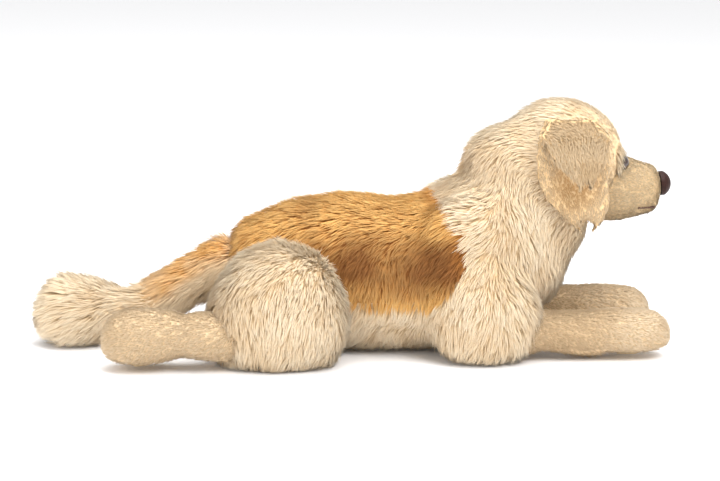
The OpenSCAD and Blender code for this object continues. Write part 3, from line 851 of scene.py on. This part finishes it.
# the shoulders round out into the elbows: centre and half sizes in mm
shoulders = []
for sign in (1, -1):
    shoulders += [((108, 52 * sign, 104), (52, 34, 56))]
shoulders += [((117, -73, 50), (55, 38, 50)), ((121, 71, 50), (50, 37, 50))]
shoulders += [((nod.x / mm - 1, 0, nod.z / mm - 2), (59.5, 58, 58.5))]
shoulders += [((150, 0, 180), (47, 50, 40)), ((186, 0, 127), (43, 54, 44))]
trunk = softForm("trunkForm", trunkNodes, **torso["form"], fullness=shoulders)
swell(trunk, **torso["swell"])
shadeSmooth(trunk)
panels = {}
haunches, forearms, feet, flaps, lobes = {}, {}, {}, {}, {}
for side in sides:
    haunches[side] = softForm("haunchPlush." + side, ["haunch_skin_" + side], **haunch["form"],
                              inward=haunch["inward"][side], shape=haunchShape(side))
    members = ["forearm_skin_" + side, "forearm_stuffing_" + side]
    forearms[side] = softForm("forearmPlush." + side, members, **forearm["form"])
    ankle = jointAt["hind_foot_" + side + "_swing"] / mm
    out = foot["calfOut"] if side == "left" else -foot["calfOut"]
    calf = ((ankle.x + out, ankle.y, foot["calfHigh"]), foot["calfHalf"])
    members = ["hind_foot_skin_" + side, "hind_foot_stuffing_" + side]
    feet[side] = softForm("footPlush." + side, members, **foot["form"], shape=footShape(side), fullness=[calf])
    sign = 1 if side == "left" else -1
    flaps[side] = softForm("earFlapPlush." + side, ["ear_flap_" + side], **ear["form"], shape=flapShape(sign))
    lobes[side] = softForm("earLobePlush." + side, ["ear_lobe_" + side], **ear["form"], shape=lobeShape(sign))
tailRoot = softForm("tailRootPlush", ["tail_root_skin"], **tail["rootForm"])
tailTip = softForm("tailTipPlush", ["tail_tip_skin", "tail_tip_stuffing"], **tail["tipForm"])
muzzle = softForm("muzzlePlush", ["muzzle_skin", "chin_panel", "muzzle_stuffing"], **face["form"])
print("forms made")

for obj in haunches.values():
    swell(obj, **torso["swell"])
for obj in [*haunches.values(), *forearms.values(), *feet.values(), *flaps.values(),
            *lobes.values(), tailRoot, tailTip, muzzle]:
    shadeSmooth(obj)
print("forms swollen")

# which panel each part of the trunk belongs to
panelTrees = {name: treeOf(nodes[name]) for name in
              ("saddle_skin", "chest_skin", "belly_panel", "neck_skin", "head_skin",
               "elbow_skin_left", "elbow_skin_right")}
neckLow = Vector(torso["neckLow"])
neckMid = Vector(torso["neckMid"])
neckHigh = nod - Vector(torso["neckBehind"])
neckLine = (neckHigh - neckLow).normalized()


saddleEdge = {"x": 101 * mm, "from": 100 * mm, "slope": 0.76, "bottom": 58 * mm}


def panelOf(point):
    point = Vector(point)
    best = min(panelTrees, key=lambda n: panelTrees[n].find_nearest(point)[3])
    if best in ("neck_skin", "head_skin", "chest_skin"):
        return "head" if (point - neckMid).dot(neckLine) > 0 and point.z > torso["headOver"] else "chest"
    edge = saddleEdge["x"] - saddleEdge["slope"] * max(0.0, saddleEdge["from"] - point.z)
    if best.startswith("elbow") or (best == "saddle_skin" and point.x > edge):
        return "saddle" if point.x < edge and point.z > saddleEdge["bottom"] else "elbow"
    return "saddle" if best == "saddle_skin" and point.z > saddleEdge["bottom"] else "belly"


def panelNames():
    # the trunk's panels: name, coat, and the side that it is on, if it has one
    for side in sides:
        yield "saddle", "gold", side
        yield "chest", "cream", side
        yield "elbow", "cream", side
    yield "belly", "cream", ""
    yield "head", "cream", ""


def splitTrunk():
    mesh = trunk.data
    kinds = [panelOf(p.center) for p in mesh.polygons]
    made = {}
    for kind, side in (("saddle", ""), ("chest", ""), ("belly", ""), ("head", ""),
                       ("elbow", "left"), ("elbow", "right")):
        bm = bmesh.new()
        bm.from_mesh(mesh)
        bm.faces.ensure_lookup_table()
        spare = [f for f in bm.faces if kinds[f.index] != kind
                 or (side and (f.calc_center_median().y > 0) != (side == "left"))]
        bmesh.ops.delete(bm, geom=spare, context="FACES")
        name = kind + "Plush" + ("." + side if side else "")
        part = bpy.data.meshes.new(name)
        bm.to_mesh(part)
        bm.free()
        made[kind + side] = objectFrom(name, part)
        part.polygons.foreach_set("use_smooth", [True] * len(part.polygons))
    return made


panels = splitTrunk()
print("trunk panels", {k: len(o.data.polygons) for k, o in panels.items()})

coverers = ("trunkForm", "haunchPlush.left", "haunchPlush.right", "muzzlePlush", "tailRootPlush")


underside = {"under": 12 * mm, "facing": -0.6, "share": 0.25}


def showing(own):
    # less fur where another form covers the skin, and on the underside
    def weigh(centres, facing):
        weight = np.ones(len(centres))
        for i, centre in enumerate(centres):
            point = Vector(centre)
            for name, (tree, depth) in solidTrees.items():
                if name != own and name in coverers and insideOf(tree, point, depth):
                    weight[i] = 0
                    break
        # the underside shows little, so it takes fewer strands
        low = (centres[:, 2] < underside["under"]) & (facing[:, 2] < underside["facing"])
        weight[low] *= underside["share"]
        return weight
    return weigh


def mixFlow(low, high, share):
    return np.array(low)[None, :] * (1 - share[:, None]) + np.array(high)[None, :] * share[:, None]


def rampUp(values, start, end):
    t = np.clip((values - start) / (end - start), 0, 1)
    return t * t * (3 - 2 * t)


furPieces = {}


trunkCoat = {
    "count": 70000,
    "seed": 11,
    "flankFlow": (-0.3, 0, -1.0),       # the pile hangs on the flanks
    "backFlow": (-1.0, 0, -0.25),       # and runs back along the spine
    "backFrom": 70 * mm,
    "backTo": 150 * mm,
    "chestFlow": (0.25, 0, -1.0),
    "chestFrom": 110 * mm,
    "chestTo": 150 * mm,
    "outward": 0.35,
    "faceAhead": (70 * mm, 0, -20 * mm),    # on the head it runs away from this point before the skull
    "faceScale": (1, 1, 0.8),
    "headFrom": -10 * mm,
    "headTo": 45 * mm,
    "browFrom": -30 * mm,   # the forehead is cropped shorter than the neck
    "browTo": 35 * mm,
    "length": 18.0,
    "cropped": 10.0,
    "lift": 0.44,
    "flatter": 0.10,
    "lashReach": 15 * mm,   # longer pile falls over each eye
    "lashAbove": 7 * mm,
    "lashFlow": (0.5, 0.25, -0.8),
    "lashLength": 15.0,
    "width": 0.95,
    "body": dict(clump=22.0, pull=0.36, wander=0.45),
    "head": dict(clump=8.0, pull=0.2, wander=0.15),
}
saddleCoat = {
    "edge": 0.35,           # deeper gold beside its seams
    "edgeFrom": 4 * mm,
    "edgeTo": 18 * mm,
    "below": 150 * mm,      # painted shade on the flanks: darker under this height, over these two spans
    "belowFrom": 16 * mm,
    "belowTo": 42 * mm,
    "low": 60 * mm,
    "high": 100 * mm,
    "patchinessScale": 24,
    "patchiness": 0.6,
    "rear": 0.9,            # and less so towards the rump
    "rearFrom": 5 * mm,
    "rearTo": 75 * mm,
}


def saddleRim(points):
    seams = [min(panelTrees["chest_skin"].find_nearest(Vector(p))[3],
                 panelTrees["belly_panel"].find_nearest(Vector(p))[3]) for p in points]
    return saddleCoat["edge"] * (1 - rampUp(np.array(seams), saddleCoat["edgeFrom"], saddleCoat["edgeTo"]))


def saddleFlankShade(points):
    # painted shade: the saddle's flanks are darker below its lit top, broken up by noise and fading towards the
    # rump
    shift = Vector((3, 1, 7))
    patchiness = np.array([noise.noise(Vector(p) * saddleCoat["patchinessScale"] + shift) for p in points])
    under = rampUp(saddleCoat["below"] - points[:, 2], saddleCoat["belowFrom"], saddleCoat["belowTo"])
    over = rampUp(points[:, 2], saddleCoat["low"], saddleCoat["high"])
    rear = 1 - saddleCoat["rear"] * rampUp(-points[:, 0], saddleCoat["rearFrom"], saddleCoat["rearTo"])
    return np.clip(under * over * (1.0 + saddleCoat["patchiness"] * patchiness) * rear, 0, 1)


def growTrunk():
    coat = trunkCoat
    root, normal, rng = scatter(trunk, counted(coat["count"]), coat["seed"], showing("trunkForm"))
    kinds = np.array([panelOf(p) for p in root])
    sideOf = np.where(root[:, 1] > 0, "left", "right")
    upper = rampUp(root[:, 2], coat["backFrom"], coat["backTo"])
    flow = mixFlow(coat["flankFlow"], coat["backFlow"], upper)
    front = rampUp(root[:, 0], coat["chestFrom"], coat["chestTo"])[:, None]
    flow = flow * (1 - front) + np.array([coat["chestFlow"]]) * front
    flow[:, 1] += np.sign(root[:, 1]) * coat["outward"]
    skull = np.array(nod[:])
    fromFace = root - (skull + np.array(coat["faceAhead"]))
    headFlow = unit(fromFace) * np.array(coat["faceScale"])
    nearHead = rampUp((root - np.array(neckMid[:])) @ np.array(neckLine[:]), coat["headFrom"], coat["headTo"])
    flow = flow * (1 - nearHead[:, None]) + headFlow * nearHead[:, None]
    brow = rampUp(root[:, 0], skull[0] + coat["browFrom"], skull[0] + coat["browTo"]) * nearHead
    length = coat["length"] - coat["cropped"] * brow
    lashX, lashY, lashZ = coat["lashFlow"]
    for side in sides:
        low, high = (np.array(c[:]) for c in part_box("eye_" + side))
        fromEye = root - (low + high) / 2 - np.array([0, 0, coat["lashAbove"]])
        near = np.linalg.norm(fromEye, axis=1) < coat["lashReach"]
        flow[near] = np.array([lashX, lashY * (1 if side == "left" else -1), lashZ])
        length[near] = coat["lashLength"]
    lift = coat["lift"] - coat["flatter"] * brow
    for kind, cloth, side in panelNames():
        mask = kinds == kind
        if side:
            mask &= sideOf == side
        r, n, f, l = keep(mask, root, normal, flow, length)
        rim = saddleRim(r) if kind == "saddle" else None
        matted = saddleFlankShade(r) if kind == "saddle" else None
        name = kind + "Fur" + ("." + side if side else "")
        lie = coat["head"] if kind == "head" else coat["body"]
        obj = growFur(name, r, n, f, rng, l, width=coat["width"], lift=float(lift[mask].mean()),
                      rim=rim, matted=matted, seed=3, **lie)
        dress(obj, coatFinish[cloth])
        furPieces[name] = obj
        print(name, len(r), "strands")


growTrunk()


def growLimb(name, base, coat, flow, seed, count, length, width=1.2, lift=0.4, clump=6.0, pull=0.4,
             wander=0.3, tuck=1.2, rim=None, matted=None, toneLow=0.88):
    root, normal, rng = scatter(base, counted(count), seed, showing(base.name))
    heading = flow(root, normal) if callable(flow) else np.tile(np.array(flow, float), (len(root), 1))
    obj = growFur(name, root, normal, heading, rng, length, width=width, lift=lift, clump=clump, pull=pull,
                  wander=wander, seed=seed, tuck=tuck, toneLow=toneLow,
                  rim=rim(root, normal) if rim else None, matted=matted(root) if matted else None)
    dress(obj, coatFinish[coat])
    furPieces[name] = obj
    print(name, len(root), "strands")


def haunchFlow(sign):
    # down the side, and back over the top
    return lambda r, n: mixFlow((-0.12, sign * 0.6, -1), (-1.1, sign * 0.8, -0.6),
                                rampUp(r[:, 2], 60 * mm, 118 * mm))


def flapFlow(r, n):
    return np.stack([(nod.x + ear["tipX"] - r[:, 0]) * ear["gather"], r[:, 1] * 0, r[:, 0] * 0 - 0.9], axis=1)


def lobeTint(sign):
    return lambda r, n: ear["tinted"] * hollowOf(r) * (n[:, 1] * sign > 0.3)


def tipFlow(r, n):
    return n * tail["tipSpread"] + np.array(tail["tipFlow"]) + 0.0 * r


def muzzleFlow(r, n):
    return np.array(face["flow"]) + n * np.array([0, 0.4, 0])


def forearmWearAndShade(r):
    # painted shade under the elbow, partly matted pile too: darker towards the elbow
    return forearm["worn"] * (1 - rampUp(r[:, 0], forearm["darkeningFrom"], forearm["darkeningTo"]))


def footWorn(r):
    return np.full(len(r), foot["worn"])


def underTail(points):
    # the tail root is cream below its axis and gold above
    lift, wag = jointAt["tail_lift"], jointAt["tail_wag"]
    axis = lift.z + (points[:, 0] - lift.x) * (wag.z - lift.z) / (wag.x - lift.x)
    return 1 - rampUp(points[:, 2] - axis, tail["creamTo"], tail["goldFrom"])


for index, side in enumerate(sides):
    sign = 1 if side == "left" else -1
    growLimb("haunchFur." + side, haunches[side], "cream", haunchFlow(sign), 21 + index, **haunch["pile"])
    growLimb("forearmFur." + side, forearms[side], "short", forearm["flow"], 41 + index,
             matted=forearmWearAndShade, **forearm["pile"])
    toe = (-1.0, 0, -0.3) if side == "right" else (1.0, 0, -0.3)
    growLimb("footFur." + side, feet[side], "short", toe, 51 + index, matted=footWorn, **foot["pile"])
    growLimb("earFlapFur." + side, flaps[side], "ear", flapFlow, 61 + index, **ear["flapPile"])
    growLimb("earLobeFur." + side, lobes[side], "ear", (0.15, 0, -1), 71 + index,
             rim=lobeTint(sign), **ear["lobePile"])
tailAxis = np.array((jointAt["tail_lift"] - jointAt["tail_wag"]).normalized()[:])
growLimb("tailRootFur", tailRoot, "tail", tuple(tailAxis), 81, matted=underTail, **tail["rootPile"])
growLimb("tailTipFur", tailTip, "cream", tipFlow, 91, **tail["tipPile"])
growLimb("muzzleFur", muzzle, "face", muzzleFlow, 95, **face["pile"])
print("pile grown")

sole = {
    "form": dict(voxel=2.5, inset=0.4, smooth=2),
    "spread": 0.4,          # share of its CAD piece's width that the pad keeps
    "raise": 2.5 * mm,
    "thin": 0.6,
}


def soleShape(node, bend=None):
    low, high = (Vector(c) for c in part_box(node))
    middle = (low + high) / 2

    def shape(point):
        x, y = (m + (p - m) * sole["spread"] for p, m in zip(point[:2], middle[:2]))
        z = sole["raise"] + point.z * sole["thin"]
        return Vector((x, y, z)) if bend is None else bend(Vector((x, y, z)))
    return shape


soles = {}
for side in sides:
    name = "paw_sole_" + side
    soles[name] = softForm("pawSolePad." + side, [name], **sole["form"], shape=soleShape(name))
    name = "hind_sole_" + side
    soles[name] = softForm("footSolePad." + side, [name], **sole["form"],
                           shape=soleShape(name, footShape(side)))
for obj in soles.values():
    subdivide(obj)
    dress(obj, soleFinish)

neckStart, neckEnd = tuple(neckLow), tuple(neckMid)


def settle(obj, replaced=(), body=None, blend=None):
    if body:
        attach(obj, body)
    if blend:
        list(blend)
        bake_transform(obj)
    if replaced:
        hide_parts(*replaced)


bpy.data.objects.remove(trunk)
for kind, panel in panels.items():
    dress(panel, underCloth["gold" if kind == "saddle" else "cream"])
lowNeck = ("torso", "neck", neckStart, neckEnd)
highNeck = ("neck", "head", tuple(neckMid), tuple(neckHigh))
settle(panels["saddle"], ("saddle_skin", "torso_stuffing"), body="torso")
settle(panels["belly"], ("belly_panel",), body="torso")
settle(panels["chest"], ("chest_skin", "neck_skin"), blend=lowNeck)
for side in sides:
    settle(panels["elbow" + side], ("elbow_skin_" + side, "elbow_stuffing_" + side),
           body="torso")
settle(panels["head"], ("head_skin", "head_stuffing", "neck_stuffing"), blend=highNeck)


def bendAt(joint, first, second, before, after):
    at = jointAt[joint]
    return first, second, tuple(at + Vector(before)), tuple(at + Vector(after))


bends = {
    "chest": lowNeck,
    "head": highNeck,
    "tailRoot": bendAt("tail_wag", "torso", "tail_root", (0.010, 0, 0), (-0.022, 0, -0.006)),
    "tailTip": bendAt("tail_lift", "tail_root", "tail_tip", (0.012, 0, 0.004), (-0.024, 0, 0)),
}
behind, ahead = limbBend
for side in sides:
    way = 1 if side == "left" else -1      # the left foot is tucked forward
    bends["forearm" + side] = bendAt("foreleg_" + side + "_swing", "torso", "foreleg_" + side,
                                     (-behind, 0, 0), (ahead, 0, 0))
    bends["foot" + side] = bendAt("hind_foot_" + side + "_swing", "torso", "hind_foot_" + side,
                                  (-behind * way, 0, 0), (ahead * way, 0, 0))
for name, obj in furPieces.items():
    kind, dot, side = name.replace("Fur", "").partition(".")
    blend = bends.get(kind) or bends.get(kind + side)
    rider = {"muzzle": "head", "earFlap": "ear_" + side, "earLobe": "ear_" + side}.get(kind, "torso")
    settle(obj, (), None if blend else rider, blend)
for side in sides:
    for part, kind, stem in ((forearms[side], "forearm", "forearm"), (feet[side], "foot", "hind_foot")):
        dress(part, underCloth["short"])
        settle(part, (stem + "_skin_" + side, stem + "_stuffing_" + side),
               None, bends[kind + side])
dress(tailRoot, underCloth["tail"])
settle(tailRoot, ("tail_root_skin", "tail_root_stuffing"), None, bends["tailRoot"])
dress(tailTip, underCloth["cream"])
settle(tailTip, ("tail_tip_skin", "tail_tip_stuffing"), None, bends["tailTip"])
for side in sides:
    dress(haunches[side], underCloth["cream"])
    settle(haunches[side], ("haunch_skin_" + side, "haunch_stuffing_" + side),
           "torso")
    dress(flaps[side], underCloth["ear"])
    settle(flaps[side], ("ear_flap_" + side,), "ear_" + side)
    dress(lobes[side], underCloth["ear"])
    settle(lobes[side], ("ear_lobe_" + side,), "ear_" + side)
    settle(soles["paw_sole_" + side], ("paw_sole_" + side,), "foreleg_" + side)
    settle(soles["hind_sole_" + side], ("hind_sole_" + side,), "hind_foot_" + side)
dress(muzzle, underCloth["face"])
settle(muzzle, ("muzzle_skin", "chin_panel", "muzzle_stuffing"), "head")

cadFinish = {"nose": noseFinish, "mouth_stitch": threadFinish, "nose_washer": washerFinish,
             "eye_washer_left": washerFinish, "eye_washer_right": washerFinish,
             "pellet_pouch": pouchFinish, "pellets": pelletFinish}
for side in sides:
    low, high = (Vector(c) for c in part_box("eye_" + side))
    centre = (low + high) / 2
    outward = (centre - nod).normalized()
    cadFinish["eye_" + side] = eyeFinish("eyeGlass." + side, tuple(centre), tuple(outward))
for name, material in cadFinish.items():
    dress(nodes[name], material)

floorMesh = bpy.data.meshes.new("floor")
bm = bmesh.new()
bmesh.ops.create_grid(bm, x_segments=1, y_segments=1, size=studio["floorSize"] / 2)
bm.to_mesh(floorMesh)
bm.free()
floor = objectFrom("floor", floorMesh)
floorFinish = Finish("paleFloor", 0.6)
floorFinish.shader.inputs["Base Color"].default_value = (*studio["floorTint"], 1)
dress(floor, floorFinish.material)
floor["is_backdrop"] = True

print("finishes and joints set")
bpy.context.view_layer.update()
triangles = 0
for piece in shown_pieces():
    if piece.type == "MESH":
        piece.data.calc_loop_triangles()
        triangles += len(piece.data.loop_triangles)
print("triangles", triangles)
